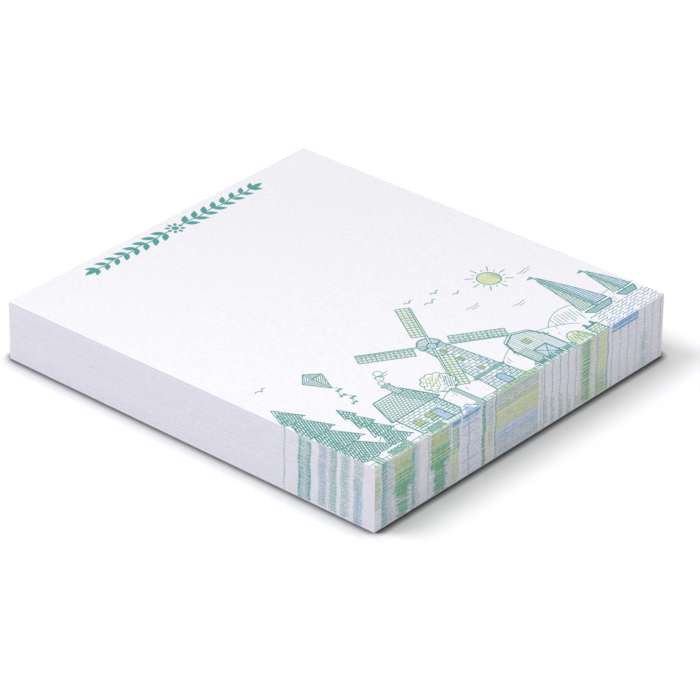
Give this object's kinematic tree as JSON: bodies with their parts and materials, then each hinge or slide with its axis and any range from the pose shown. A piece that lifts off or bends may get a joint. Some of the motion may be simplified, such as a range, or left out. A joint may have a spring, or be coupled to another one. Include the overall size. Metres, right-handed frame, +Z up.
{
  "type": "sticky note pad",
  "caption": "Thick square-cornered pad of white sticky notes, glued along one edge, with a teal leaf garland at the head and a country scene printed along the lower edge and down the sides.",
  "frame": {"origin": "on the surface that the pad rests on, under the middle of the note", "axes": "+Z up through the stack, +Y from the free edge to the bound edge, +X across the note"},
  "size_m": [0.07, 0.076, 0.0113],
  "materials": {
    "note_paper": "uncoated matt paper, faint fibre grain, lines between the notes on the sides",
    "backing_paper": "plain uncoated backing sheet",
    "teal_ink": "matt teal offset print on paper",
    "green_ink": "matt green offset print on paper",
    "yellow_ink": "matt yellow-green offset print on paper",
    "blue_ink": "matt blue offset print on paper"
  },
  "bodies": {
    "root": {"backing_sheet": "backing_paper", "note_block": "note_paper", "top_print_teal": "teal_ink", "top_print_green": "green_ink", "top_print_yellow": "yellow_ink", "top_print_blue": "blue_ink", "front_print_teal": "teal_ink", "front_print_green": "green_ink", "front_print_yellow": "yellow_ink", "front_print_blue": "blue_ink", "left_print_teal": "teal_ink", "right_print_blue": "blue_ink"}
  },
  "joints": []
}
